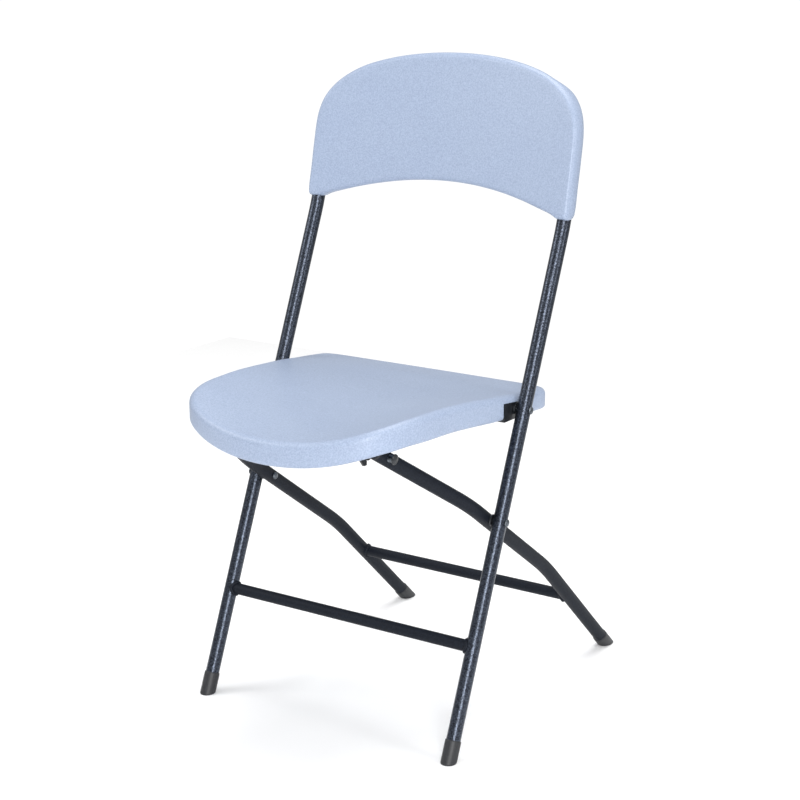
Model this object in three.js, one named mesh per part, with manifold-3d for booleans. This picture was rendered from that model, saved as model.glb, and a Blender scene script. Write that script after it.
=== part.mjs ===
// Folding chair: steel-tube cross-leg frame with a moulded plastic seat and back.
// Millimetres, +Z up, the chair faces -Y and its left side (the sitter's) is +X.
// Side-view places are written in a drawing frame whose y = 0 is the front feet's axis
// on the floor; the whole chair is then moved back by DRAWING_TO_CENTRE.
import * as THREE from 'three';
import { mergeVertices } from 'three/addons/utils/BufferGeometryUtils.js';
import ManifoldModule from 'manifold-3d';

const wasm = await ManifoldModule();
wasm.setup();

// ---------- driving dimensions ----------
const DRAWING_TO_CENTRE = -183.52; // puts the middle of the overall depth on y = 0
const TUBE_RADIUS = 9.5;          // 19 mm tube
const BAR_RADIUS = 8;             // 16 mm cross tubes
const WALL = 1.2;
const GAP = 0.3;                  // air kept between touching pieces
const UPRIGHT_X = 200;            // upright axis from the middle plane
const REAR_LEG_X = 177.9;         // rear-leg axis below the crossing
const REAR_TOP_X = 135;           // rear-leg axis under the seat
const UPRIGHT_SLOPE = 0.4143;     // y per z below the back panel
const BACK_SLOPE = 0.206;         // y per z inside the back panel
const BACK_START_Z = 668;
const UPRIGHT_TOP_Z = 768;
const FRONT_BAR_Z = 139.4;
const REAR_BAR_Z = 113.7;

const onUpright = (z) => new THREE.Vector3(UPRIGHT_X, UPRIGHT_SLOPE * z, z);
const CROSSING = onUpright(292.8);     // pivot between upright and rear leg
const SEAT_PIVOT = onUpright(431);     // pivot between upright and seat
const REAR_BEND_UPPER = [80, 322];     // [y, z]
const REAR_BEND_LOWER = [283, 178.2];
const REAR_FOOT = [474.6, 0];
const SLIDE_ROD = [-50.6, 411.4];      // rod joining the rear-leg tops
const ROD_RADIUS = 5;

// ---------- colours and materials ----------
function material(hex, roughness, metalness) {
  return new THREE.MeshStandardMaterial({ color: hex, roughness, metalness });
}
const plastic = material(0xaebfdc, 0.5, 0);
const paintedSteel = material(0x3a4048, 0.42, 0.6);
const blackPlastic = material(0x1b1c1f, 0.6, 0);
const darkZinc = material(0x5c5f63, 0.35, 0.9);
const blackSteel = material(0x202226, 0.5, 0.6);
const nylon = material(0x2a2b2e, 0.55, 0);

// ---------- solid helpers ----------
function toManifold(geometry) {
  const clean = geometry.clone();
  clean.deleteAttribute('normal');
  clean.deleteAttribute('uv');
  const merged = mergeVertices(clean, 1e-4);
  const mesh = new wasm.Mesh({
    numProp: 3,
    vertProperties: new Float32Array(merged.attributes.position.array),
    triVerts: new Uint32Array(merged.index.array),
  });
  return new wasm.Manifold(mesh);
}

function toGeometry(solid) {
  const mesh = solid.getMesh();
  const geometry = new THREE.BufferGeometry();
  geometry.setAttribute('position', new THREE.BufferAttribute(mesh.vertProperties, 3));
  geometry.setIndex(new THREE.BufferAttribute(mesh.triVerts, 1));
  geometry.computeVertexNormals();
  return geometry;
}

function cut(geometry, ...tools) {
  const solid = tools.reduce((rest, tool) => rest.subtract(toManifold(tool)), toManifold(geometry));
  return toGeometry(solid);
}

// A route of straight runs with arcs at its corners; a ring of the tube sits at every station.
class BentRoute extends THREE.Curve {
  constructor(corners, bendLength = 26, arcSteps = 4) {
    super();
    this.stations = [corners[0]];
    for (let i = 1; i < corners.length - 1; i += 1) {
      const before = corners[i].clone().sub(corners[i - 1]).setLength(-bendLength).add(corners[i]);
      const after = corners[i + 1].clone().sub(corners[i]).setLength(bendLength).add(corners[i]);
      const bend = new THREE.QuadraticBezierCurve3(before, corners[i], after);
      this.stations.push(...bend.getPoints(arcSteps));
    }
    this.stations.push(corners[corners.length - 1]);
  }

  getPoint(t) {
    return this.stations[Math.round(t * (this.stations.length - 1))].clone();
  }

  getPointAt(t) {
    return this.getPoint(t);
  }

  getTangentAt(t) {
    const i = Math.round(t * (this.stations.length - 1));
    const here = this.stations[i];
    const last = this.stations[Math.max(i - 1, 0)];
    const next = this.stations[Math.min(i + 1, this.stations.length - 1)];
    const into = here.clone().sub(last).normalize();
    const out = next.clone().sub(here).normalize();
    return into.add(out).normalize();
  }
}

function sweep(corners, radius, innerRadius = 0, segments = 11) {
  const route = new BentRoute(corners);
  const ring = new THREE.Shape().absarc(0, 0, radius, 0, Math.PI * 2);
  if (innerRadius > 0) ring.holes.push(new THREE.Path().absarc(0, 0, innerRadius, 0, Math.PI * 2));
  return new THREE.ExtrudeGeometry(ring, {
    extrudePath: route,
    steps: route.stations.length - 1,
    curveSegments: segments,
  });
}

// A cylinder between two points.
function rod(from, to, radius, segments = 20) {
  const axis = to.clone().sub(from);
  const geometry = new THREE.CylinderGeometry(radius, radius, axis.length(), segments);
  geometry.applyQuaternion(
    new THREE.Quaternion().setFromUnitVectors(new THREE.Vector3(0, 1, 0), axis.clone().normalize()));
  return geometry.translate(...from.clone().add(to).multiplyScalar(0.5).toArray());
}

// A turned piece: profile [radius, distance] about an axis that starts at a point.
function turned(profile, start, direction, segments = 24) {
  const points = profile.map(([radius, along]) => new THREE.Vector2(radius, along));
  const geometry = new THREE.LatheGeometry(points, segments);
  geometry.applyQuaternion(
    new THREE.Quaternion().setFromUnitVectors(new THREE.Vector3(0, 1, 0), direction.clone().normalize()));
  return geometry.translate(...start.toArray());
}

function box(low, high) {
  const size = high.map((value, i) => value - low[i]);
  const middle = high.map((value, i) => (value + low[i]) / 2);
  return new THREE.BoxGeometry(...size).translate(...middle);
}

// A box given for the left side, mirrored for the right when side is -1.
function sideBox(side, low, high) {
  if (side > 0) return box(low, high);
  return box([-high[0], low[1], low[2]], [-low[0], high[1], high[2]]);
}

// Smooth height or width through hand-set [place, value] knots.
function through(knots, place) {
  const last = knots.length - 1;
  if (place <= knots[0][0]) return knots[0][1];
  if (place >= knots[last][0]) return knots[last][1];
  const i = knots.findIndex((knot, k) => place < knots[k + 1][0]);
  const slopeAt = (k) => {
    const [a, b] = [knots[Math.max(k - 1, 0)], knots[Math.min(k + 1, last)]];
    return (b[1] - a[1]) / (b[0] - a[0]);
  };
  const span = knots[i + 1][0] - knots[i][0];
  const t = (place - knots[i][0]) / span;
  return (2 * t ** 3 - 3 * t ** 2 + 1) * knots[i][1] + (t ** 3 - 2 * t ** 2 + t) * span * slopeAt(i)
    + (3 * t ** 2 - 2 * t ** 3) * knots[i + 1][1] + (t ** 3 - t ** 2) * span * slopeAt(i + 1);
}

// A closed skin: a pole, rings of equal length, and a second pole.
function closedSkin(firstPole, rings, lastPole) {
  const count = rings[0].length;
  const positions = [firstPole, ...rings.flat(), lastPole].flatMap((point) => point.toArray());
  const index = [];
  const at = (ring, i) => 1 + ring * count + (i % count);
  for (let i = 0; i < count; i += 1) {
    index.push(0, at(0, i), at(0, i + 1));
    for (let ring = 0; ring < rings.length - 1; ring += 1) {
      index.push(at(ring, i), at(ring + 1, i), at(ring + 1, i + 1));
      index.push(at(ring, i), at(ring + 1, i + 1), at(ring, i + 1));
    }
    index.push(at(rings.length - 1, i), 1 + rings.length * count, at(rings.length - 1, i + 1));
  }
  const geometry = new THREE.BufferGeometry();
  geometry.setAttribute('position', new THREE.Float32BufferAttribute(positions, 3));
  geometry.setIndex(index);
  geometry.computeVertexNormals();
  return geometry;
}

// Moves a closed outline inwards along its own normals (outline runs anticlockwise).
function inset(outline, distance) {
  const count = outline.length;
  return outline.map((point, i) => {
    const along = outline[(i + 1) % count].clone().sub(outline[(i + count - 1) % count]).normalize();
    return new THREE.Vector2(point.x - along.y * distance, point.y + along.x * distance);
  });
}

function towards(outline, centre, share) {
  return outline.map((point) => centre.clone().lerp(point, share));
}

const chair = new THREE.Group();
chair.name = 'folding_chair';
chair.position.set(0, DRAWING_TO_CENTRE, 0);

function addPart(name, geometry, finish) {
  const mesh = new THREE.Mesh(geometry, finish);
  mesh.name = name;
  chair.add(mesh);
}

const SIDES = [['left', 1], ['right', -1]];
const mirrored = (point, side) => new THREE.Vector3(point.x * side, point.y, point.z);
const sideways = (side) => new THREE.Vector3(side, 0, 0);

// ---------- front frame: uprights, their foot caps and the crossbar ----------
const bendAt = onUpright(BACK_START_Z);
const uprightTop = new THREE.Vector3(
  UPRIGHT_X, bendAt.y + BACK_SLOPE * (UPRIGHT_TOP_Z - BACK_START_Z), UPRIGHT_TOP_Z);
const uprightRoute = (side, start) => [start, bendAt, uprightTop].map((point) => mirrored(point, side));
const BACK_SCREW_Z = 735;
const backScrewY = bendAt.y + BACK_SLOPE * (BACK_SCREW_Z - BACK_START_Z);

function pivotHole(point, side, radius, from, to) {
  return rod(new THREE.Vector3(side * from, point.y, point.z),
    new THREE.Vector3(side * to, point.y, point.z), radius);
}

function footCap(foot, direction, radius) {
  // A sleeve on the tube's end, cut level with the floor.
  const up = direction.clone().normalize();
  const start = foot.clone().addScaledVector(up, -14);
  const sleeve = turned([[0, 0], [radius, 0], [radius, 42], [radius - 1.2, 44], [0, 44]], start, up, 28);
  const bore = rod(foot.clone().addScaledVector(up, 9.5), foot.clone().addScaledVector(up, 60),
    TUBE_RADIUS + GAP / 2, 28);
  const below = box([-300, -120, -60], [300, 620, 0]);
  return cut(sleeve, below, bore);
}

for (const [label, side] of SIDES) {
  const tubeStart = onUpright(11);
  addPart(`upright_${label}`, cut(
    sweep(uprightRoute(side, tubeStart), TUBE_RADIUS, TUBE_RADIUS - WALL),
    pivotHole(CROSSING, side, 3.3, 185, 215),
    pivotHole(SEAT_PIVOT, side, 3.3, 185, 215),
    rod(new THREE.Vector3(side * UPRIGHT_X, backScrewY, BACK_SCREW_Z),
      new THREE.Vector3(side * UPRIGHT_X, backScrewY + 30, BACK_SCREW_Z), 2.4, 12),
  ), paintedSteel);
  addPart(`front_foot_cap_${label}`, footCap(mirrored(onUpright(0), side), mirrored(onUpright(1), side)
    .sub(mirrored(onUpright(0), side)), 11.2), blackPlastic);
}

function crossbar(halfSpan, y, z, legDirection) {
  // The bar's ends are coped round the two legs it is welded to.
  const bar = sweep([new THREE.Vector3(-halfSpan, y, z), new THREE.Vector3(halfSpan, y, z)],
    BAR_RADIUS, BAR_RADIUS - WALL);
  const copes = SIDES.map(([, side]) => {
    const leg = new THREE.Vector3(side * halfSpan, y, z);
    return rod(leg.clone().addScaledVector(legDirection, -30),
      leg.clone().addScaledVector(legDirection, 30), TUBE_RADIUS + GAP, 28);
  });
  return toGeometry(toManifold(cut(bar, ...copes)).decompose()
    .reduce((largest, piece) => (piece.volume() > largest.volume() ? piece : largest)));
}

const uprightDirection = new THREE.Vector3(0, UPRIGHT_SLOPE, 1).normalize();
addPart('front_crossbar',
  crossbar(UPRIGHT_X, UPRIGHT_SLOPE * FRONT_BAR_Z, FRONT_BAR_Z, uprightDirection), paintedSteel);

// ---------- rear legs ----------
const rearPoint = (x, [y, z]) => new THREE.Vector3(x, y, z);
const rearFoot = rearPoint(REAR_LEG_X, REAR_FOOT);
const rearBendLower = rearPoint(REAR_LEG_X, REAR_BEND_LOWER);
const rearBendUpper = rearPoint(REAR_LEG_X, REAR_BEND_UPPER);
const rearTop = rearPoint(REAR_TOP_X, SLIDE_ROD);
const rearLowerDirection = rearBendLower.clone().sub(rearFoot).normalize();
const rearTopDirection = rearTop.clone().sub(rearBendUpper).normalize();
const rearTubeTop = rearTop.clone().addScaledVector(rearTopDirection, 14);

for (const [label, side] of SIDES) {
  const start = rearFoot.clone().addScaledVector(rearLowerDirection, 11.5);
  const corners = [start, rearBendLower, rearBendUpper, rearTubeTop].map((point) => mirrored(point, side));
  addPart(`rear_leg_${label}`, cut(
    sweep(corners, TUBE_RADIUS, TUBE_RADIUS - WALL),
    pivotHole(CROSSING, side, 3.3, 160, 195),
    pivotHole(rearTop, side, ROD_RADIUS + GAP, 115, 155),
  ), paintedSteel);
  addPart(`rear_foot_cap_${label}`,
    footCap(mirrored(rearFoot, side), mirrored(rearLowerDirection, side), 11.2), blackPlastic);
  const plugStart = mirrored(rearTubeTop, side);
  addPart(`rear_leg_plug_${label}`, turned(
    [[0, -4], [TUBE_RADIUS - WALL - GAP, -4], [TUBE_RADIUS - WALL - GAP, GAP], [TUBE_RADIUS, GAP],
      [TUBE_RADIUS - 0.6, 1.6], [TUBE_RADIUS - 3, 2.6], [0, 3]],
    plugStart, mirrored(rearTopDirection, side)), blackPlastic);
}
const rearBarShare = REAR_BAR_Z / REAR_BEND_LOWER[1];
const rearBarY = REAR_FOOT[0] + (REAR_BEND_LOWER[0] - REAR_FOOT[0]) * rearBarShare;
addPart('rear_crossbar', crossbar(REAR_LEG_X, rearBarY, REAR_BAR_Z, rearLowerDirection), paintedSteel);

// ---------- slide rod under the seat, its rollers and its push-on caps ----------
const ROD_END_X = 150;
const TRACK_X = 110;       // middle of the track plate
const TRACK_THICKNESS = 3;
addPart('slide_rod',
  rod(rearPoint(-ROD_END_X, SLIDE_ROD), rearPoint(ROD_END_X, SLIDE_ROD), ROD_RADIUS), darkZinc);
for (const [label, side] of SIDES) {
  const bushStart = rearPoint(side * (TRACK_X - 3), SLIDE_ROD);
  addPart(`slide_bush_${label}`, turned(
    [[ROD_RADIUS + GAP, 0], [7.5, 0], [7.5, 6], [ROD_RADIUS + GAP, 6], [ROD_RADIUS + GAP, 0]],
    bushStart, sideways(side)), nylon);
  addPart(`slide_rod_cap_${label}`, turned(
    [[0, 0], [7, 0], [6.6, 1.6], [4.5, 2.8], [0, 3.2]],
    rearPoint(side * (ROD_END_X + GAP), SLIDE_ROD), sideways(side)), darkZinc);
}

// ---------- pivot rivets and their spacers ----------
// A shank with a domed head at each end, from the inner head to the outer one.
function rivet(point, side, inner, outer, headRadius) {
  const length = outer - inner;
  return turned([
    [0, -3], [headRadius * 0.55, -2.6], [headRadius * 0.88, -1.4], [headRadius, 0], [3, 0],
    [3, length], [headRadius, length], [headRadius * 0.88, length + 1.4],
    [headRadius * 0.55, length + 2.6], [0, length + 3],
  ], new THREE.Vector3(side * inner, point.y, point.z), sideways(side));
}

function washer(point, side, from, to, radius) {
  return turned([[3.3, 0], [radius, 0], [radius, to - from], [3.3, to - from], [3.3, 0]],
    new THREE.Vector3(side * from, point.y, point.z), sideways(side));
}

const UPRIGHT_OUTER = UPRIGHT_X + TUBE_RADIUS + GAP;
const BRACKET_INNER = 184;
const BRACKET_OUTER = 187;
for (const [label, side] of SIDES) {
  addPart(`crossing_rivet_${label}`,
    rivet(CROSSING, side, REAR_LEG_X - TUBE_RADIUS - GAP, UPRIGHT_OUTER, 5), darkZinc);
  addPart(`crossing_spacer_${label}`,
    washer(CROSSING, side, REAR_LEG_X + TUBE_RADIUS + GAP, UPRIGHT_X - TUBE_RADIUS - GAP, 8), darkZinc);
  addPart(`seat_pivot_rivet_${label}`,
    rivet(SEAT_PIVOT, side, BRACKET_INNER - GAP, UPRIGHT_OUTER, 5), darkZinc);
  addPart(`seat_pivot_spacer_${label}`,
    washer(SEAT_PIVOT, side, BRACKET_OUTER + GAP, UPRIGHT_X - TUBE_RADIUS - GAP, 8), darkZinc);
}

// ---------- seat ----------
const SEAT_OUTLINE = [
  [0, -124], [45, -121], [84, -114], [115, -104], [141, -89], [158, -68], [167.5, -42], [173, -14],
  [176, 20], [180, 64], [184.5, 110], [188, 150], [189, 190], [189, 240], [185, 261], [171, 270],
  [95, 272], [0, 272.5]];
const SEAT_MIDDLE_HEIGHT = [
  [-124, 429], [-80, 435], [-40, 439.5], [0, 442], [60, 444], [120, 446], [180, 448],
  [215, 447.5], [275, 440]];
const SEAT_SIDE_HEIGHT = [
  [-124, 449], [-80, 457], [-60, 460], [-40, 462.5], [0, 463.5], [40, 463], [80, 460], [120, 456],
  [160, 452], [200, 447], [275, 440]];
const SEAT_SIDE_WIDTH = [
  [-124, 149], [-90, 150], [-60, 161], [-40, 167], [0, 174.5], [60, 180], [110, 184.5],
  [150, 188], [275, 189]];
const SEAT_EDGE_DEPTH = [
  [-124, 33], [-80, 31.5], [-40, 32.5], [0, 33.5], [120, 32.5], [160, 31], [200, 29], [275, 28]];
const SEAT_FLOOR_DEPTH = 13;
const SEAT_CENTRE = new THREE.Vector2(0, 70);

function mirrorOutline(half, samples) {
  const right = half.slice(1, -1).map(([x, y]) => new THREE.Vector3(-x, y, 0)).reverse();
  const left = half.map(([x, y]) => new THREE.Vector3(x, y, 0));
  const loop = new THREE.CatmullRomCurve3([...left, ...right], true, 'centripetal');
  const spaced = loop.getSpacedPoints(samples).slice(0, samples);
  return spaced.map((point) => new THREE.Vector2(point.x, point.y));
}

function seatTop(point) {
  const middle = through(SEAT_MIDDLE_HEIGHT, point.y);
  const side = through(SEAT_SIDE_HEIGHT, point.y);
  const reach = Math.min(Math.abs(point.x) / through(SEAT_SIDE_WIDTH, point.y), 1.05);
  return middle + (side - middle) * reach ** 2.2;
}

function seatSkin() {
  const outline = mirrorOutline(SEAT_OUTLINE, 72);
  const rim = inset(outline, 9);
  const lift = (flat, height) => flat.map(
    (point, i) => new THREE.Vector3(point.x, point.y, height(point, i)));
  const rimTop = rim.map(seatTop);
  const depth = outline.map((point) => through(SEAT_EDGE_DEPTH, point.y));
  const rings = [];
  for (const share of [0.25, 0.5, 0.75, 0.92, 1]) {
    rings.push(lift(towards(rim, SEAT_CENTRE, share), seatTop));
  }
  const roll = [[4.5, 1.4], [1.4, 4.6], [0, 9]];
  for (const [inwards, drop] of roll) rings.push(lift(inset(outline, inwards), (p, i) => rimTop[i] - drop));
  const hem = [[0, -5], [1.2, -1.4], [4, 0], [9, 0], [11, -1.5]];
  for (const [inwards, rise] of hem) {
    rings.push(lift(inset(outline, inwards), (p, i) => rimTop[i] - depth[i] - rise));
  }
  const floorEdge = inset(outline, 13);
  const floorTop = (point) => seatTop(point) - SEAT_FLOOR_DEPTH;
  for (const share of [1, 0.7, 0.35]) rings.push(lift(towards(floorEdge, SEAT_CENTRE, share), floorTop));
  const pole = (height) => new THREE.Vector3(SEAT_CENTRE.x, SEAT_CENTRE.y, height);
  return closedSkin(pole(seatTop(SEAT_CENTRE)), rings, pole(floorTop(SEAT_CENTRE)));
}

const RIB = { inner: 98, outer: 122, front: -72, back: 142, bottom: 428.3 };
const HINGE = { inner: 152, front: 151, back: 205, bottom: 417.3, thickness: 3 };
const NOTCH_TOP = 443.5;

function seatPanel() {
  const skin = toManifold(seatSkin());
  let solid = skin;
  for (const [, side] of SIDES) {
    // A long moulded rib that the track is screwed to, up to the underside of the sitting skin.
    const rib = sideBox(side, [RIB.inner, RIB.front, RIB.bottom], [RIB.outer, RIB.back, 437]);
    // A boss for the hinge bracket's flange.
    const boss = sideBox(side, [HINGE.inner - 2, HINGE.front - 6, 420.6], [178, 214, 440]);
    solid = solid.add(toManifold(rib)).add(toManifold(boss));
  }
  for (const [, side] of SIDES) {
    const notch = sideBox(side, [178.5, HINGE.front - 2, 400], [230, HINGE.back + 2, NOTCH_TOP]);
    const bedTop = HINGE.bottom + HINGE.thickness + GAP;
    const flangeBed = sideBox(side, [140, HINGE.front - 2, 400], [230, HINGE.back + 2, bedTop]);
    solid = solid.subtract(toManifold(notch)).subtract(toManifold(flangeBed));
    for (const hole of hingeScrewPlaces(side)) {
      solid = solid.subtract(toManifold(rod(hole, hole.clone().setZ(hole.z + 16), 2.3, 12)));
    }
    for (const hole of trackScrewPlaces(side)) {
      solid = solid.subtract(toManifold(rod(hole, hole.clone().setZ(hole.z + 10), 2.3, 12)));
    }
  }
  return toGeometry(solid);
}

function hingeScrewPlaces(side) {
  const z = HINGE.bottom - GAP;
  return [162, 196].map((y) => new THREE.Vector3(side * 164, y, z));
}

function trackScrewPlaces(side) {
  const z = RIB.bottom - GAP - 2.5 - GAP;
  return [-20, 100].map((y) => new THREE.Vector3(side * 103, y, z));
}

// Steel angle in the seat's side notch: an upright ear for the rivet and a flange under the seat.
function hingeBracket(side) {
  const ear = sideBox(side, [BRACKET_INNER, HINGE.front, HINGE.bottom],
    [BRACKET_OUTER, HINGE.back, NOTCH_TOP - 2]);
  const flange = sideBox(side, [HINGE.inner, HINGE.front, HINGE.bottom],
    [BRACKET_OUTER, HINGE.back, HINGE.bottom + HINGE.thickness]);
  let solid = toManifold(ear).add(toManifold(flange));
  solid = solid.subtract(toManifold(pivotHole(SEAT_PIVOT, side, 3.3, 180, 190)));
  for (const hole of hingeScrewPlaces(side)) {
    solid = solid.subtract(toManifold(rod(hole.clone().setZ(400), hole.clone().setZ(430), 2.6, 12)));
  }
  return toGeometry(solid);
}

// Side view of the track plate: it hangs from its flange and hooks round the front of the rod.
function trackPlate(side) {
  const [rodY, rodZ] = SLIDE_ROD;
  const seatRadius = 7.5 + GAP;
  const top = RIB.bottom - GAP;
  const outline = new THREE.Shape();
  outline.moveTo(rodY - 16, top);
  outline.lineTo(rodY - 16, rodZ - 4);
  outline.lineTo(rodY - 9, rodZ - 13);
  outline.lineTo(rodY - 3, rodZ - 13);
  outline.absarc(rodY, rodZ, seatRadius, Math.PI * 1.38, Math.PI * 0.35, true);
  outline.lineTo(rodY + 30, rodZ + 8.5);
  outline.lineTo(RIB.back - 20, rodZ + 8.5);
  outline.lineTo(RIB.back - 8, top);
  const plate = new THREE.ExtrudeGeometry(outline, {
    depth: TRACK_THICKNESS, bevelEnabled: false, curveSegments: 18,
  });
  // Shape x runs along the chair's y, shape y along z, and the depth along x.
  plate.applyMatrix4(new THREE.Matrix4().makeBasis(
    new THREE.Vector3(0, 1, 0), new THREE.Vector3(0, 0, 1), new THREE.Vector3(1, 0, 0)));
  plate.translate(side * TRACK_X - TRACK_THICKNESS / 2, 0, 0);
  const flange = sideBox(side, [98, RIB.front + 6, top - 2.5], [TRACK_X + 1.5, RIB.back - 8, top]);
  let solid = toManifold(plate).add(toManifold(flange));
  for (const hole of trackScrewPlaces(side)) {
    solid = solid.subtract(toManifold(rod(hole.clone().setZ(400), hole.clone().setZ(432), 2.6, 12)));
  }
  return toGeometry(solid);
}

// Pan-head screw: the head starts at a point and the shank goes on along a direction.
function screw(start, direction, shank, headRadius = 4.2) {
  return turned([
    [0, -2.6], [headRadius * 0.6, -2.4], [headRadius, -1], [headRadius, 0], [2, 0], [2, shank], [0, shank],
  ], start, direction, 16);
}

addPart('seat_panel', seatPanel(), plastic);
const up = new THREE.Vector3(0, 0, 1);
for (const [label, side] of SIDES) {
  addPart(`seat_hinge_bracket_${label}`, hingeBracket(side), blackSteel);
  addPart(`slide_track_${label}`, trackPlate(side), blackSteel);
  hingeScrewPlaces(side).forEach((place, i) => {
    addPart(`hinge_screw_${label}_${i + 1}`, screw(place, up, 13), darkZinc);
  });
  trackScrewPlaces(side).forEach((place, i) => {
    addPart(`track_screw_${label}_${i + 1}`, screw(place, up, 9), darkZinc);
  });
}

// ---------- back panel ----------
const BACK = {
  halfWidth: 211.5, shoulder: 740, rise: 132.8, arch: 31, sleeveInner: 186.5, centreZ: 785,
  bow: 25, faceHalf: 7.5, sleeveHalf: 14.5,
};

function backOutline() {
  const half = [];
  for (const x of [0, 45, 90, 130, 160]) half.push([x, 669.5 + BACK.arch * (1 - (x / 188) ** 2)]);
  half.push([BACK.sleeveInner - 3, 671], [BACK.sleeveInner + 4, 667.6], [200, 667.2], [209.5, 668.5]);
  half.push([BACK.halfWidth, 676], [BACK.halfWidth, 712]);
  for (const degrees of [0, 8, 18, 30, 45, 60, 75, 90]) {
    const angle = THREE.MathUtils.degToRad(degrees);
    half.push([BACK.halfWidth * Math.cos(angle), BACK.shoulder + BACK.rise * Math.sin(angle) ** 0.55]);
  }
  return mirrorOutline(half, 84);
}

function backMiddle(x, z) {
  const front = BACK.bow * (1 - (x / UPRIGHT_X) ** 2) - BACK.sleeveHalf;
  return bendAt.y + BACK_SLOPE * (z - BACK_START_Z) + front + backHalfThickness(x);
}

function backHalfThickness(x) {
  const share = THREE.MathUtils.smoothstep(Math.abs(x), 150, 188);
  return BACK.faceHalf + (BACK.sleeveHalf - BACK.faceHalf) * share;
}

function backSkin() {
  const outline = backOutline();
  const centre = new THREE.Vector2(0, BACK.centreZ);
  const surface = (flat, share) => flat.map((point) => new THREE.Vector3(
    point.x, backMiddle(point.x, point.y) + share * backHalfThickness(point.x), point.y));
  const rings = [];
  const face = inset(outline, 6);
  for (const share of [0.3, 0.6, 0.82, 1]) rings.push(surface(towards(face, centre, share), -1));
  const roll = [[2.5, -0.86], [0.6, -0.55], [0, 0], [0.6, 0.55], [2.5, 0.86]];
  for (const [inwards, share] of roll) rings.push(surface(inset(outline, inwards), share));
  for (const share of [1, 0.82, 0.6, 0.3]) rings.push(surface(towards(face, centre, share), 1));
  const pole = (share) => new THREE.Vector3(
    0, backMiddle(0, BACK.centreZ) + share * backHalfThickness(0), BACK.centreZ);
  return closedSkin(pole(-1), rings, pole(1));
}

const backScrewStart = (side) => new THREE.Vector3(side * UPRIGHT_X,
  backMiddle(UPRIGHT_X, BACK_SCREW_Z) + backHalfThickness(UPRIGHT_X) + 0.8, BACK_SCREW_Z);
const sockets = SIDES.map(([, side]) => sweep(
  [onUpright(600), bendAt, uprightTop.clone().add(new THREE.Vector3(0, 0.8, 4))]
    .map((p) => mirrored(p, side)),
  TUBE_RADIUS + GAP));
const backScrewHoles = SIDES.map(([, side]) => rod(
  backScrewStart(side), backScrewStart(side).add(new THREE.Vector3(0, -16, 0)), 2.3, 12));
addPart('back_panel', cut(backSkin(), ...sockets, ...backScrewHoles), plastic);
for (const [label, side] of SIDES) {
  addPart(`back_screw_${label}`,
    screw(backScrewStart(side), new THREE.Vector3(0, -1, 0), 10), darkZinc);
}

export default chair;
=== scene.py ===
"""Folding chair: steel-tube frame, moulded plastic seat and back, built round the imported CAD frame.

Lengths are written in millimetres and turned to metres when a mesh is made. Side-view places use the
drawing frame of the design, whose y = 0 is the front feet's axis; DRAWING_Y takes them to the part's frame.
"""
import math

import bpy
import numpy as np
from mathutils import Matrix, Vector


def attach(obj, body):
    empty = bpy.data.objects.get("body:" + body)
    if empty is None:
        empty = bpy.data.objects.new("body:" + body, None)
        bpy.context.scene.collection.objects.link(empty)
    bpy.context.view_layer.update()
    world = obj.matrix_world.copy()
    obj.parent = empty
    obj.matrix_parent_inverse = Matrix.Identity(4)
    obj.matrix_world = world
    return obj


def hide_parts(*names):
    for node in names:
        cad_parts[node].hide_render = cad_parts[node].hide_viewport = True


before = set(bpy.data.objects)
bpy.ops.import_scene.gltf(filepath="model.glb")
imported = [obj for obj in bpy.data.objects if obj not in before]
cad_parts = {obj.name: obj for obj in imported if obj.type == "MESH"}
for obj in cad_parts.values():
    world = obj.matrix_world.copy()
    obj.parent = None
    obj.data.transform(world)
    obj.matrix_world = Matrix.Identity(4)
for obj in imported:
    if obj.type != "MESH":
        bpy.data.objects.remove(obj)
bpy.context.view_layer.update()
MM = 0.001
SHARP_ANGLE = math.radians(40)  # a fold in a surface past this shows as an edge

# ---------- driving dimensions, the same as the design's ----------
DRAWING_Y = -183.52
TUBE_RADIUS = 9.5
BAR_RADIUS = 8.0
UPRIGHT_X = 200.0
REAR_LEG_X = 177.9
REAR_TOP_X = 135.0
UPRIGHT_SLOPE = 0.4143
BACK_SLOPE = 0.206
BACK_START_Z = 668.0
UPRIGHT_TOP_Z = 768.0
FRONT_BAR_Z = 139.4
REAR_BAR_Z = 113.7
CROSSING_Z = 292.8
SEAT_PIVOT_Z = 431.0
REAR_BEND_UPPER = (80.0, 322.0)
REAR_BEND_LOWER = (283.0, 178.2)
REAR_FOOT = (474.6, 0.0)
SLIDE_ROD = (-50.6, 411.4)
SIDES = (("left", 1.0), ("right", -1.0))
BACK = {"half_width": 211.5, "shoulder": 740.0, "rise": 132.8, "arch": 31.0, "sleeve": 186.5,
        "centre_z": 785.0, "bow": 25.0, "face_half": 7.5, "sleeve_half": 14.5}

# ---------- smaller dimensions ----------
AROUND = 48  # points in a ring of a turned or carried circle
FINE_AROUND = 64  # points in a ring of a foot cap or a screw head
SPAN_STEPS = 40  # points between two knots of an outline, before they are spaced evenly
FRONT_TUBE_START_Z = 11.0  # the tubes stop short of the floor, inside their caps
REAR_TUBE_START = 11.5  # along the leg, from the middle of its foot
REAR_TUBE_PAST_ROD = 14.0  # the rear leg's top end, past the slide rod
BAR_BITE = 0.6  # how far a crossbar's end goes into the leg's wall
BEAD_RADIUS = 2.3
BEAD_RIPPLE = 0.28
RIVET_HEAD_RADIUS = 5.0
RIVET_HEAD_RISE = 2.2
RIVET_OUTER_X = 209.8
WASHER_RADIUS = 8.0
WASHER_OUTER_X = 190.2
BUSH_X = 107.0
ROD_CAP_X = 150.3
BACK_SCREW_Z = 735.0
BACK_SCREW_STAND = 0.8  # gap between the panel's rear face and the screw's seat


def point(x, y, z):
    """A place in the drawing frame, as an array in the part's frame, in millimetres."""
    return np.array([x, y + DRAWING_Y, z], dtype=float)


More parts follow.
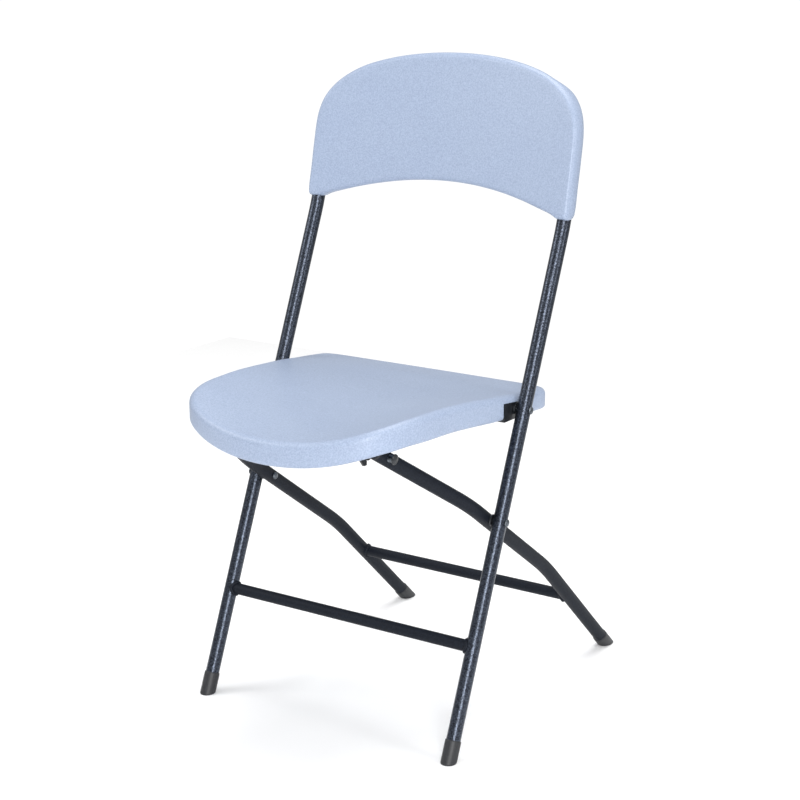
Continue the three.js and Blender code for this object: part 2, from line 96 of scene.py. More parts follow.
def on_upright(z, side=1.0):
    """The upright's axis at height z, below the back panel."""
    return point(side * UPRIGHT_X, UPRIGHT_SLOPE * z, z)


def unit(vector):
    """A vector of length one in the same direction."""
    return vector / np.linalg.norm(vector)


# ---------- mesh helpers ----------
def outward(verts, quads, triangles):
    """Faces turned so that the closed mesh's signed volume is positive: the sum of a . (b x c) over its
    triangles, whose corners are a, b and c."""
    corners = np.concatenate([quads[:, [0, 1, 2]], quads[:, [0, 2, 3]], triangles])
    a, b, c = verts[corners[:, 0]], verts[corners[:, 1]], verts[corners[:, 2]]
    if np.sum(a * np.cross(b, c)) > 0:
        return quads, triangles
    return quads[:, ::-1], triangles[:, ::-1]


def make_piece(name, shape, body, surface, nodes=()):
    """A smooth mesh object from points in millimetres, riding on a body and standing for CAD nodes."""
    verts, quads, triangles = shape
    quads, triangles = outward(verts, quads, triangles)
    mesh = bpy.data.meshes.new(name)
    mesh.from_pydata((verts * MM).tolist(), [], quads.tolist() + triangles.tolist())
    mesh.polygons.foreach_set("use_smooth", np.ones(len(mesh.polygons), dtype=bool))
    mesh.set_sharp_from_angle(angle=SHARP_ANGLE)
    mesh.materials.append(surface)
    mesh.update()
    piece = bpy.data.objects.new(name, mesh)
    bpy.context.scene.collection.objects.link(piece)
    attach(piece, body)
    if nodes:
        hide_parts(*nodes)


def ring_quads(rings, around, closed=False):
    """Quads between rings of equal length, and between the last ring and the first if closed."""
    spans = rings if closed else rings - 1
    r, i = np.meshgrid(np.arange(spans), np.arange(around), indexing="ij")
    r_next, i_next = (r + 1) % rings, (i + 1) % around
    corners = [r * around + i, r * around + i_next, r_next * around + i_next, r_next * around + i]
    return np.stack(corners, axis=-1).reshape(-1, 4)


def skin(rings):
    """A closed skin through rings of points (R, N, 3), each end shut by a fan to the ring's middle."""
    rings = np.array(rings)
    count, around = rings.shape[:2]
    i = np.arange(around)
    j = (i + 1) % around
    first, last, base = count * around, count * around + 1, (count - 1) * around
    fans = np.concatenate([np.stack([np.full(around, first), j, i], axis=-1),
                           np.stack([np.full(around, last), base + i, base + j], axis=-1)])
    verts = np.concatenate([rings.reshape(-1, 3), [rings[0].mean(axis=0), rings[-1].mean(axis=0)]])
    return verts, ring_quads(count, around), fans


def closed_rings(rings):
    """A ring-shaped skin: the last ring joins the first, so it has no ends."""
    rings = np.array(rings)
    count, around = rings.shape[:2]
    return rings.reshape(-1, 3), ring_quads(count, around, closed=True), np.empty((0, 3), dtype=int)


def basis(axis):
    """Two unit vectors square to an axis."""
    axis = np.asarray(axis, dtype=float) / np.linalg.norm(axis)
    helper = np.array([1.0, 0.0, 0.0]) if abs(axis[0]) < 0.8 else np.array([0.0, 1.0, 0.0])
    first = np.cross(axis, helper)
    first /= np.linalg.norm(first)
    return first, np.cross(axis, first), axis


def circle_round(axis, around):
    """The angles and points of a unit circle square to an axis, and the axis as a unit vector."""
    u, v, w = basis(axis)
    angle = np.linspace(0, 2 * np.pi, around, endpoint=False)
    return angle, np.cos(angle)[:, None] * u + np.sin(angle)[:, None] * v, w


def turned_rings(profile, start, axis):
    """A profile of (radius, distance along the axis) turned round it: one ring for each profile point."""
    _, circle, w = circle_round(axis, AROUND)
    return [start + radius * circle + along * w for radius, along in profile]


def turned(profile, start, axis):
    """A turned piece whose two ends are shut."""
    return skin(turned_rings(profile, start, axis))


def hollow_turned(profile, start, axis):
    """A closed profile turned into a ring-shaped piece, such as a washer."""
    return closed_rings(turned_rings(profile, start, axis))


def route(corners, bend=26.0, steps=10):
    """Stations along straight runs whose corners are rounded by quadratic arcs."""
    stations = [corners[0]]
    for before, corner, after in zip(corners, corners[1:], corners[2:]):
        into = corner - bend * (corner - before) / np.linalg.norm(corner - before)
        out = corner + bend * (after - corner) / np.linalg.norm(after - corner)
        for t in np.linspace(0, 1, steps):
            stations.append((1 - t) ** 2 * into + 2 * t * (1 - t) * corner + t * t * out)
    stations.append(corners[-1])
    return np.array(stations)


def carried_circle(stations, radius):
    """Rings of a circle carried along stations, its frame turned as little as possible from each one to
    the next."""
    ahead = np.diff(stations, axis=0)
    ahead /= np.linalg.norm(ahead, axis=1)[:, None]
    tangents = np.vstack([ahead[:1], ahead[:-1] + ahead[1:], ahead[-1:]])
    tangents /= np.linalg.norm(tangents, axis=1)[:, None]
    angle = np.linspace(0, 2 * np.pi, AROUND, endpoint=False)
    normal = basis(tangents[0])[0]
    rings = []
    for centre, tangent in zip(stations, tangents):
        normal = normal - tangent * np.dot(normal, tangent)
        normal /= np.linalg.norm(normal)
        across = np.cross(tangent, normal)
        rings.append(centre + radius * (np.cos(angle)[:, None] * normal + np.sin(angle)[:, None] * across))
    return np.array(rings)


def smoothstep(value, low, high):
    """0 below low, 1 above high, and 3t^2 - 2t^3 between."""
    t = np.clip((value - low) / (high - low), 0, 1)
    return t * t * (3 - 2 * t)


def through(knots, place):
    """A smooth curve through given (place, value) knots: cubic Hermite spans with central slopes."""
    x, y = np.array(knots, dtype=float).T
    slope = np.empty_like(y)
    slope[1:-1] = (y[2:] - y[:-2]) / (x[2:] - x[:-2])
    slope[0], slope[-1] = (y[1] - y[0]) / (x[1] - x[0]), (y[-1] - y[-2]) / (x[-1] - x[-2])
    place = np.clip(place, x[0], x[-1])
    i = np.clip(np.searchsorted(x, place, side="right") - 1, 0, len(x) - 2)
    span = x[i + 1] - x[i]
    t = (place - x[i]) / span
    return ((2 * t ** 3 - 3 * t ** 2 + 1) * y[i] + (t ** 3 - 2 * t ** 2 + t) * span * slope[i]
            + (3 * t ** 2 - 2 * t ** 3) * y[i + 1] + (t ** 3 - t ** 2) * span * slope[i + 1])


def closed_loop(half, samples):
    """A mirrored outline through half's knots, centripetal Catmull-Rom, at equal spacing, anticlockwise."""
    left = np.array(half, dtype=float)
    right = left[1:-1][::-1] * np.array([-1.0, 1.0])
    knots = np.vstack([left, right])
    fine = []
    for k in range(len(knots)):
        p0, p1, p2, p3 = (knots[(k + j - 1) % len(knots)] for j in range(4))
        chords = (p1 - p0, p2 - p1, p3 - p2)
        steps = np.cumsum([0.0] + [np.linalg.norm(chord) ** 0.5 for chord in chords])
        t = np.linspace(steps[1], steps[2], SPAN_STEPS, endpoint=False)[:, None]
        a1 = ((steps[1] - t) * p0 + t * p1) / steps[1]
        a2 = ((steps[2] - t) * p1 + (t - steps[1]) * p2) / (steps[2] - steps[1])
        a3 = ((steps[3] - t) * p2 + (t - steps[2]) * p3) / (steps[3] - steps[2])
        b1 = ((steps[2] - t) * a1 + t * a2) / steps[2]
        b2 = ((steps[3] - t) * a2 + (t - steps[1]) * a3) / (steps[3] - steps[1])
        fine.append(((steps[2] - t) * b1 + (t - steps[1]) * b2) / (steps[2] - steps[1]))
    fine = np.vstack(fine + [fine[0][:1]])
    length = np.concatenate([[0], np.cumsum(np.linalg.norm(np.diff(fine, axis=0), axis=1))])
    even = np.linspace(0, length[-1], samples, endpoint=False)
    return np.stack([np.interp(even, length, fine[:, 0]), np.interp(even, length, fine[:, 1])], axis=-1)


def inset(outline, distance):
    """An outline moved inwards along its own normals; distance is one number or one for each point."""
    along = np.roll(outline, -1, axis=0) - np.roll(outline, 1, axis=0)
    along /= np.linalg.norm(along, axis=1)[:, None]
    inwards = np.stack([-along[:, 1], along[:, 0]], axis=-1)
    return outline + inwards * np.broadcast_to(distance, len(outline))[:, None]


def eased_inset(outline, distance):
    """An inset whose tight corners are eased, so that one tighter than the inset doesn't cross itself. Each
    millimetre of inset gets three passes of the average (a + 2b + c) / 4."""
    moved = inset(outline, distance)
    for _ in range(round(3 * distance)):
        moved = (np.roll(moved, 1, axis=0) + 2 * moved + np.roll(moved, -1, axis=0)) / 4
    return moved


# ---------- materials ----------
PLASTIC_DARK = "8A97AD"
PLASTIC_LIGHT = "9BA8BE"
PLASTIC_CLOUD = "F8F9FC"
DENT_MM = 2.4


def linear(hex_colour):
    """An sRGB hex value such as 'A1B2C3' as linear RGBA."""
    parts = [int(hex_colour[i:i + 2], 16) / 255 for i in (0, 2, 4)]
    return tuple(c / 12.92 if c <= 0.04045 else ((c + 0.055) / 1.055) ** 2.4 for c in parts) + (1.0,)


def add(tree, kind, inputs=(), **settings):
    """A node of a kind with its settings; inputs are (socket, value or another node's output)."""
    node = tree.nodes.new(kind)
    for key, value in settings.items():
        setattr(node, key, value)
    for socket, value in inputs:
        if isinstance(value, bpy.types.NodeSocket):
            tree.links.new(value, node.inputs[socket])
        else:
            node.inputs[socket].default_value = value
    return node


def new_material(name, **values):
    """A Principled material with plain values on its own sockets, its tree and its shader."""
    material = bpy.data.materials.new(name)
    material.use_nodes = True
    tree = material.node_tree
    shader = tree.nodes["Principled BSDF"]
    for key, value in values.items():
        shader.inputs[key.replace("_", " ")].default_value = value
    place = add(tree, "ShaderNodeTexCoord").outputs["Object"]
    return material, tree, shader, place


def per_mm(size):
    """The texture scale that gives a pattern of this size in millimetres on Object coordinates in metres."""
    return 1.0 / (size * MM)


def noise(tree, place, size_mm, detail):
    """Even noise from 0 to 1, with grains of this size in millimetres."""
    node = add(tree, "ShaderNodeTexNoise",
               [("Vector", place), ("Scale", per_mm(size_mm)), ("Detail", detail)])
    return node.outputs["Fac"]


def two_tone(tree, value, low, dark, high, light):
    """A colour that runs from dark, where the value is low, to light, where it is high."""
    ramp = add(tree, "ShaderNodeValToRGB", [("Fac", value)])
    for element, position, colour in zip(ramp.color_ramp.elements, (low, high), (dark, light)):
        element.position = position
        element.color = linear(colour)
    return ramp.outputs["Color"]


def varied_roughness(tree, shader, value, low, high):
    """A roughness that runs from low to high as the value runs from 0 to 1."""
    rough = add(tree, "ShaderNodeMapRange", [("Value", value), ("To Min", low), ("To Max", high)])
    tree.links.new(rough.outputs["Result"], shader.inputs["Roughness"])


def relief(tree, shader, height, strength, depth_mm):
    """The shader's normal tilted by a height pattern of this depth in millimetres."""
    bump = add(tree, "ShaderNodeBump",
               [("Height", height), ("Strength", strength), ("Distance", depth_mm * MM)])
    tree.links.new(bump.outputs["Normal"], shader.inputs["Normal"])


def moulded_polyethylene():
    """Blow-moulded polyethylene with a granite fleck, from a pebble-blasted mould. It gives a waxy, half-matt
    surface, pale blue-grey, with faint light and dark flecks under two millimetres and shallow pebbling."""
    material, tree, shader, place = new_material(
        "granite_fleck_moulded_polyethylene", Roughness=0.42, IOR=1.51)
    fleck = two_tone(tree, noise(tree, place, 1.9, 3.0), 0.34, PLASTIC_DARK, 0.66, PLASTIC_LIGHT)
    cloud = noise(tree, place, 60, 2.0)
    tint = add(tree, "ShaderNodeMix", [(0, cloud), (6, fleck), (7, linear(PLASTIC_CLOUD))],
               data_type="RGBA", blend_type="MULTIPLY")
    tree.links.new(tint.outputs[2], shader.inputs["Base Color"])
    relief(tree, shader, noise(tree, place, 1.6, 2.0), 0.2, 0.08)
    return material


def hammered_powder_coat(name, dent_depth, roughness, dark, light, metallic, specular, coat):
    """Hammered powder coat over steel tube: small shallow dents that break a highlight into sparks, with
    paler and darker metallic grains about the size of the dents, lying at random. The dents are a little
    coarser than life, so they show."""
    material, tree, shader, place = new_material(
        name, Metallic=metallic, Roughness=roughness, Specular_IOR_Level=specular, Coat_Weight=coat,
        Coat_Roughness=0.25)
    dents = add(tree, "ShaderNodeTexVoronoi", [("Vector", place), ("Scale", per_mm(DENT_MM))],
                feature="SMOOTH_F1")
    grain = noise(tree, place, DENT_MM * 0.8, 4.0)
    tree.links.new(two_tone(tree, grain, 0.36, dark, 0.68, light), shader.inputs["Base Color"])
    relief(tree, shader, dents.outputs["Distance"], 0.9, dent_depth)
    return material


def black_moulded_rubbery_plastic():
    """Black PVC foot caps and plugs, dip-moulded: satin with a fine even grain and dusty, slightly paler high
    spots."""
    material, tree, shader, place = new_material("black_moulded_pvc", IOR=1.53)
    grain = noise(tree, place, 1.4, 3.0)
    tree.links.new(two_tone(tree, grain, 0.35, "101114", 0.75, "26282D"), shader.inputs["Base Color"])
    varied_roughness(tree, shader, grain, 0.42, 0.6)
    relief(tree, shader, grain, 0.3, 0.1)
    return material


def zinc_plated_steel():
    """Zinc-plated steel fasteners, tumbled: grey metal, half-bright, with a faint cloudy change of
    roughness."""
    material, tree, shader, place = new_material("zinc_plated_steel", Metallic=1.0)
    cloud = noise(tree, place, 2.5, 4.0)
    tree.links.new(two_tone(tree, cloud, 0.3, "4A4F55", 0.7, "747A81"), shader.inputs["Base Color"])
    varied_roughness(tree, shader, cloud, 0.26, 0.42)
    return material


def black_painted_sheet():
    """Pressed sheet steel under thin black paint: satin, with slight orange peel of about two millimetres."""
    material, tree, shader, place = new_material(
        "black_painted_sheet_steel", Metallic=0.2, Roughness=0.38, Coat_Weight=0.2, Coat_Roughness=0.2)
    peel = noise(tree, place, 2.0, 2.0)
    tree.links.new(two_tone(tree, peel, 0.3, "15171B", 0.8, "262A30"), shader.inputs["Base Color"])
    relief(tree, shader, peel, 0.3, 0.15)
    return material


PLASTIC = moulded_polyethylene()
UPRIGHT_PAINT = hammered_powder_coat(
    "hammered_charcoal_powder_coat", dent_depth=0.2, roughness=0.3, dark="151A24", light="4C5360",
    metallic=0.8, specular=0.5, coat=0.15)
# The rear legs, both crossbars and their welds: a matt copy of the charcoal powder coat with finer dents. Its
# colours are darker than the uprights' as painted shade.
SHADED_FRAME_PAINT = hammered_powder_coat(
    "fine_charcoal_powder_coat_painted_shade", dent_depth=0.06, roughness=0.55, dark="0F131B", light="181D26",
    metallic=0.0, specular=0.15, coat=0.0)
CAP_PLASTIC = black_moulded_rubbery_plastic()
ZINC = zinc_plated_steel()
SHEET_STEEL = black_painted_sheet()

# ---------- tubes ----------
BEND_AT = on_upright(BACK_START_Z)


def post_y(z):
    """How far back the upright's axis is at height z, above its bend."""
    return BEND_AT[1] + BACK_SLOPE * (z - BACK_START_Z)


def upright_top(side):
    """The upper end of an upright, inside the back panel."""
    return np.array([side * UPRIGHT_X, post_y(UPRIGHT_TOP_Z), UPRIGHT_TOP_Z])


def tube(name, corners, body, surface, node):
    """A round tube along a bent route, its two ends shut inside the caps that cover them."""
    shape = skin(carried_circle(route(corners), TUBE_RADIUS))
    make_piece(name, shape, body, surface, [node])


for label, side in SIDES:
    bend = BEND_AT * np.array([side, 1, 1])
    tube(f"upright_tube_{label}", [on_upright(FRONT_TUBE_START_Z, side), bend, upright_top(side)],
         "front_frame", UPRIGHT_PAINT, f"upright_{label}")

REAR_CORNERS = [(REAR_LEG_X, *REAR_FOOT), (REAR_LEG_X, *REAR_BEND_LOWER),
                (REAR_LEG_X, *REAR_BEND_UPPER), (REAR_TOP_X, *SLIDE_ROD)]


def rear_corners(side):
    """The rear leg's corners on one side, from the floor to the slide rod."""
    return [point(side * x, y, z) for x, y, z in REAR_CORNERS]


for label, side in SIDES:
    foot, lower, upper, top = rear_corners(side)
    start = foot + REAR_TUBE_START * unit(lower - foot)
    end = top + REAR_TUBE_PAST_ROD * unit(top - upper)
    tube(f"rear_leg_tube_{label}", [start, lower, upper, end],
         "rear_frame", SHADED_FRAME_PAINT, f"rear_leg_{label}")


# ---------- crossbars and their weld beads ----------
def bar_end(angle, leg_axis, half_span):
    """How far from the middle plane the bar's surface meets the leg, and the bar's points about its axis.
    Where a point is d from the plane of the leg's axis, the leg's surface is sqrt(R^2 - d^2) in from it."""
    across = np.cross(leg_axis, [1.0, 0.0, 0.0])
    rearward = np.cos(angle)[:, None] * np.array([0, 1, 0])
    upward = np.sin(angle)[:, None] * np.array([0, 0, 1])
    offset = BAR_RADIUS * (rearward + upward)
    d = offset @ across
    return half_span - np.sqrt(TUBE_RADIUS ** 2 - np.clip(d, -TUBE_RADIUS, TUBE_RADIUS) ** 2), offset


def crossbar(name, centre, leg_axis, half_span, body, node):
    """A bar whose end rings follow the legs it is welded to."""
    angle = np.linspace(0, 2 * np.pi, AROUND, endpoint=False)
    reach, offset = bar_end(angle, leg_axis, half_span)
    rings = []
    for share in (-1.0, -0.96, -0.5, 0.0, 0.5, 0.96, 1.0):
        along = share * (reach + BAR_BITE)
        rings.append(centre + offset + along[:, None] * np.array([1.0, 0, 0]))
    make_piece(name, skin(rings), body, SHADED_FRAME_PAINT, [node])


def weld_bead(name, centre, leg_axis, half_span, side, body):
    """A fillet round a crossbar's end: a small ring carried along the curve where bar and leg meet, its
    thickness rippled by the welder's even strokes."""
    around, strokes = 120, 17
    angle = np.linspace(0, 2 * np.pi, around, endpoint=False)
    reach, offset = bar_end(angle, leg_axis, half_span)
    path = centre + offset * 1.04 + side * (reach - BAR_BITE)[:, None] * np.array([1.0, 0, 0])
    tangent = np.roll(path, -1, axis=0) - np.roll(path, 1, axis=0)
    tangent /= np.linalg.norm(tangent, axis=1)[:, None]
    radial = offset / BAR_RADIUS
    radial -= tangent * np.sum(radial * tangent, axis=1)[:, None]
    radial /= np.linalg.norm(radial, axis=1)[:, None]
    third = np.cross(tangent, radial)
    turn = np.linspace(0, 2 * np.pi, 14, endpoint=False)
    size = BEAD_RADIUS + BEAD_RIPPLE * np.abs(np.sin(angle * strokes / 2))
    rings = (path[:, None] + size[:, None, None] * (np.cos(turn)[None, :, None] * radial[:, None]
             + np.sin(turn)[None, :, None] * third[:, None]))
    make_piece(name, closed_rings(rings), body, SHADED_FRAME_PAINT)


UPRIGHT_AXIS = unit(np.array([0, UPRIGHT_SLOPE, 1.0]))
REAR_LOWER_AXIS = unit(rear_corners(1)[1] - rear_corners(1)[0])
front_bar = on_upright(FRONT_BAR_Z) * np.array([0, 1, 1])
up_lower_leg = REAR_BAR_Z / REAR_BEND_LOWER[1]
rear_bar = point(0, REAR_FOOT[0] + (REAR_BEND_LOWER[0] - REAR_FOOT[0]) * up_lower_leg, REAR_BAR_Z)
crossbar("front_crossbar_tube", front_bar, UPRIGHT_AXIS, UPRIGHT_X, "front_frame", "front_crossbar")
crossbar("rear_crossbar_tube", rear_bar, REAR_LOWER_AXIS, REAR_LEG_X, "rear_frame", "rear_crossbar")
for label, side in SIDES:
    weld_bead(f"front_weld_{label}", front_bar, UPRIGHT_AXIS, UPRIGHT_X, side, "front_frame")
    weld_bead(f"rear_weld_{label}", rear_bar, REAR_LOWER_AXIS, REAR_LEG_X, side, "rear_frame")


# ---------- foot caps and leg plugs ----------
def foot_cap(name, foot, axis, body, node):
    """A sleeve round the tube's end, cut level with the floor: each generator of the cylinder starts where it
    meets z = 0, with a small rounded edge there and a rolled lip at the top."""
    _, circle, w = circle_round(axis, FINE_AROUND)

    def floor_ring(radius, height):
        """The cylinder of this radius cut level at a height above the floor."""
        start = foot + radius * circle
        along = (height - start[:, 2]) / w[2]
        return start + along[:, None] * w

    rings = [floor_ring(r, 0.0) for r in (2.0, 6.0, 9.4)]
    rings += [floor_ring(10.2, 0.25), floor_ring(10.5, 0.9), floor_ring(10.6, 2.0)]
    rings += [foot + radius * circle + along * w for radius, along in (
        (10.6, 16), (10.6, 27.6), (10.5, 28.6), (10.2, 29.3), (9.9, 29.7), (9.6, 29.9))]
    shape = skin(rings)
    make_piece(name, shape, body, CAP_PLASTIC, [node])


for label, side in SIDES:
    foot_cap(f"front_foot_{label}", point(side * UPRIGHT_X, 0, 0), UPRIGHT_AXIS,
             "front_frame", f"front_foot_cap_{label}")
    foot, lower, upper, top = rear_corners(side)
    foot_cap(f"rear_foot_{label}", foot, lower - foot, "rear_frame", f"rear_foot_cap_{label}")
    direction = unit(top - upper)
    profile = [(8.0, -4), (8.0, 0.2), (9.5, 0.2), (9.45, 0.8), (8.9, 1.6), (6.6, 2.5), (3.4, 2.9), (0.6, 3.0)]
    shape = turned(profile, top + REAR_TUBE_PAST_ROD * direction, direction)
    make_piece(f"leg_plug_{label}", shape, "rear_frame", CAP_PLASTIC,
               [f"rear_leg_plug_{label}"])


# ---------- rivets, spacers, slide rod and screws ----------
def dome(radius, height, start, sign=1.0, steps=8):
    """Profile points of a rivet's dome: a quarter ellipse from its rim to near its crown."""
    t = np.linspace(0, 0.97 * np.pi / 2, steps)
    return [(radius * math.cos(a), start + sign * height * math.sin(a)) for a in t]


def rivet(name, z, side, inner, node):
    """A shank with a domed head at each end, each head with a short upright rim."""
    length = RIVET_OUTER_X - inner
    inner_head = list(reversed(dome(RIVET_HEAD_RADIUS, RIVET_HEAD_RISE, -0.8, -1.0)))
    shank = [(5.0, -0.1), (4.8, 0.0), (3.0, 0.0), (3.0, length), (4.8, length), (5.0, length + 0.1)]
    outer_head = dome(RIVET_HEAD_RADIUS, RIVET_HEAD_RISE, length + 0.8)
    shape = turned(inner_head + shank + outer_head, point(side * inner, UPRIGHT_SLOPE * z, z), [side, 0, 0])
    make_piece(name, shape, "front_frame", ZINC, [node])


def spacer(name, z, side, inner, node):
    """A washer with rounded rims."""
    thick = WASHER_OUTER_X - inner
    rim = WASHER_RADIUS
    profile = [(3.3, 0), (rim - 0.4, 0), (rim, 0.4), (rim, thick - 0.4), (rim - 0.4, thick), (3.3, thick)]
    shape = hollow_turned(profile, point(side * inner, UPRIGHT_SLOPE * z, z), [side, 0, 0])
    make_piece(name, shape, "front_frame", SHEET_STEEL, [node])


for label, side in SIDES:
    rivet(f"crossing_rivet_head_{label}", CROSSING_Z, side, 168.1, f"crossing_rivet_{label}")
    rivet(f"seat_rivet_head_{label}", SEAT_PIVOT_Z, side, 183.7, f"seat_pivot_rivet_{label}")
    spacer(f"crossing_washer_{label}", CROSSING_Z, side, 187.7, f"crossing_spacer_{label}")
    spacer(f"seat_washer_{label}", SEAT_PIVOT_Z, side, 187.3, f"seat_pivot_spacer_{label}")

rod_profile = [(4.2, -150), (5.0, -149.2), (5.0, -60), (5.0, 60), (5.0, 149.2), (4.2, 150)]
shape = turned(rod_profile, point(0, *SLIDE_ROD), [1, 0, 0])
make_piece("slide_rod_bar", shape, "rear_frame", ZINC, ["slide_rod"])
for label, side in SIDES:
    shape = hollow_turned([(5.1, 0.2), (6.9, 0), (7.5, 0.6), (7.5, 5.4), (6.9, 6), (5.1, 5.8)],
                          point(side * BUSH_X, *SLIDE_ROD), [side, 0, 0])
    make_piece(f"track_bush_{label}", shape, "rear_frame", CAP_PLASTIC, [f"slide_bush_{label}"])
    shape = turned([(6.4, 0), (7.0, 0.5), (6.7, 1.5), (5.2, 2.4), (2.8, 3.0), (0.6, 3.2)],
                   point(side * ROD_CAP_X, *SLIDE_ROD), [side, 0, 0])
    make_piece(f"rod_end_cap_{label}", shape, "rear_frame", SHEET_STEEL,
               [f"slide_rod_cap_{label}"])


def screw(name, start, axis, body, node, shank):
    """A pan-head screw with a cross recess: the head's height is a dome less a cross-shaped sink."""
    angle, circle, w = circle_round(axis, FINE_AROUND)
    rings = []
    for radius in (0.25, 0.5, 0.8, 1.2, 1.7, 2.1, 2.6, 3.2, 3.7, 4.0):
        x, y = radius * np.cos(angle), radius * np.sin(angle)
        arm = np.maximum(smoothstep(-np.abs(x), -0.62, -0.38) * smoothstep(-np.abs(y), -2.3, -1.9),
                         smoothstep(-np.abs(y), -0.62, -0.38) * smoothstep(-np.abs(x), -2.3, -1.9))
        height = 1.0 + 1.5 * math.sqrt(1 - (radius / 4.3) ** 2) - 1.3 * arm
        rings.append(start + radius * circle - height[:, None] * w)
    for radius, along in ((4.2, -0.9), (4.2, -0.2), (4.0, 0), (2.0, 0), (2.0, shank - 1.5), (0.8, shank)):
        rings.append(start + radius * circle + along * w)
    shape = skin(rings)
    make_piece(name, shape, body, ZINC, [node])


back_screw_y = post_y(BACK_SCREW_Z) + BACK["sleeve_half"] + BACK_SCREW_STAND
for label, side in SIDES:
    screw(f"back_panel_screw_{label}", np.array([side * UPRIGHT_X, back_screw_y, BACK_SCREW_Z]),
          [0, -1, 0], "front_frame", f"back_screw_{label}", 10)
    for i, y in enumerate((162, 196)):
        screw(f"bracket_screw_{label}_{i + 1}", point(side * 164, y, 417.0), [0, 0, 1],
              "seat", f"hinge_screw_{label}_{i + 1}", 13)
    for i, y in enumerate((-20, 100)):
        screw(f"slide_screw_{label}_{i + 1}", point(side * 103, y, 425.2), [0, 0, 1],
              "seat", f"track_screw_{label}_{i + 1}", 9)

# ---------- seat ----------
SEAT_OUTLINE = [
    (0, -124), (45, -121), (84, -114), (115, -104), (141, -89), (158, -68), (167.5, -42), (173, -14),
    (176, 20), (180, 64), (184.5, 110), (188, 150), (189, 190), (189, 240), (185, 261), (171, 270),
    (95, 272), (0, 272.5)]
SEAT_MIDDLE_HEIGHT = [
    (-124, 429), (-80, 435), (-40, 439.5), (0, 442), (60, 444), (120, 446),
    (180, 448), (215, 447.5), (275, 440)]
SEAT_SIDE_HEIGHT = [
    (-124, 449), (-80, 457), (-60, 460), (-40, 462.5), (0, 463.5), (40, 463), (80, 460), (120, 456),
    (160, 452), (200, 447), (275, 440)]
SEAT_SIDE_WIDTH = [
    (-124, 149), (-90, 150), (-60, 161), (-40, 167), (0, 174.5), (60, 180),
    (110, 184.5), (150, 188), (275, 189)]
SEAT_EDGE_DEPTH = [
    (-124, 33), (-80, 31.5), (-40, 32.5), (0, 33.5), (120, 32.5), (160, 31), (200, 29), (275, 28)]
SEAT_FLOOR_DEPTH = 13.0
SEAT_EDGE_RADIUS = 9.0
HEM_WIDTH = 4.0
HEM_HEIGHT = 5.0
HEM_INNER_RADIUS = 3.0
BLOCK_RADIUS = 3.0
BLOCK_TOP_Z = 438.0  # inside the seat's floor
SEAT_CENTRE = np.array([0.0, 70.0])
NOTCH = {"front": 149.0, "back": 207.0, "depth": 10.5, "top": 443.5}


def seat_top(flat):
    """Height of the sitting surface: from the middle line's height to the side's, as |x|/w to the power
    2.2, where w is the half width at that place."""
    middle = through(SEAT_MIDDLE_HEIGHT, flat[:, 1])
    side_height = through(SEAT_SIDE_HEIGHT, flat[:, 1])
    reach = np.minimum(np.abs(flat[:, 0]) / through(SEAT_SIDE_WIDTH, flat[:, 1]), 1.05)
    return middle + (side_height - middle) * reach ** 2.2


def lift(flat, height):
    """Flat points of the seat's plan at a height, in the part's frame."""
    return np.stack([flat[:, 0], flat[:, 1] + DRAWING_Y, np.broadcast_to(height, len(flat))], axis=-1)


def seat_shell():
    """Rings from the middle of the sitting surface out to the rim, down the skirt, round the hem and back
    under the seat to the middle of its floor. The notch for the hinge bracket is a local inset of the
    skirt."""
    outline = closed_loop(SEAT_OUTLINE, 620)
    rim = inset(outline, SEAT_EDGE_RADIUS)
    rim_top = seat_top(rim)
    depth = through(SEAT_EDGE_DEPTH, outline[:, 1])
    side_wall = smoothstep(np.abs(outline[:, 0]), 170, 180)
    y = outline[:, 1]
    past_front = smoothstep(y, NOTCH["front"] - 1, NOTCH["front"] + 1)
    past_back = smoothstep(y, NOTCH["back"] - 1, NOTCH["back"] + 1)
    notch = past_front * (1 - past_back) * side_wall * NOTCH["depth"]
    rings = []
    for reach in np.linspace(0.02, 1, 36):
        flat = SEAT_CENTRE + (rim - SEAT_CENTRE) * reach
        rings.append(lift(flat, seat_top(flat)))
    for a in np.linspace(8, 90, 9) * np.pi / 180:  # the rolled edge, a quarter circle
        flat = inset(outline, SEAT_EDGE_RADIUS * (1 - math.sin(a)))
        rings.append(lift(flat, rim_top - SEAT_EDGE_RADIUS * (1 - math.cos(a))))
    below_edge = rim_top - SEAT_EDGE_RADIUS - 0.4
    lip = np.where(notch > 0.01, np.minimum(below_edge, NOTCH["top"]), below_edge)
    rings.append(lift(outline, lip + 0.2))
    rings.append(lift(inset(outline, notch), lip))
    foot = rim_top - depth
    rings.append(lift(inset(outline, notch), 0.5 * (lip + foot)))
    for a in np.linspace(0, 90, 6) * np.pi / 180:  # the hem, a rounded edge
        flat = inset(outline, notch + HEM_WIDTH * (1 - math.cos(a)))
        rings.append(lift(flat, foot + HEM_HEIGHT * (1 - math.sin(a))))
    rings.append(lift(inset(outline, notch + 2 * HEM_WIDTH), foot))
    for a in np.linspace(30, 90, 3) * np.pi / 180:  # and back up inside it
        flat = inset(outline, notch + 2 * HEM_WIDTH + HEM_INNER_RADIUS * math.sin(a))
        rings.append(lift(flat, foot + HEM_INNER_RADIUS * (1 - math.cos(a))))
    inner = inset(outline, notch + 12.5)
    rings.append(lift(inner, seat_top(inner) - SEAT_FLOOR_DEPTH - 4))
    for reach in (0.985, 0.95, 0.8, 0.6, 0.4, 0.2, 0.05):
        flat = SEAT_CENTRE + (inner - SEAT_CENTRE) * reach
        rings.append(lift(flat, seat_top(flat) - SEAT_FLOOR_DEPTH))
    make_piece("seat_shell", skin(rings), "seat", PLASTIC, ["seat_panel"])


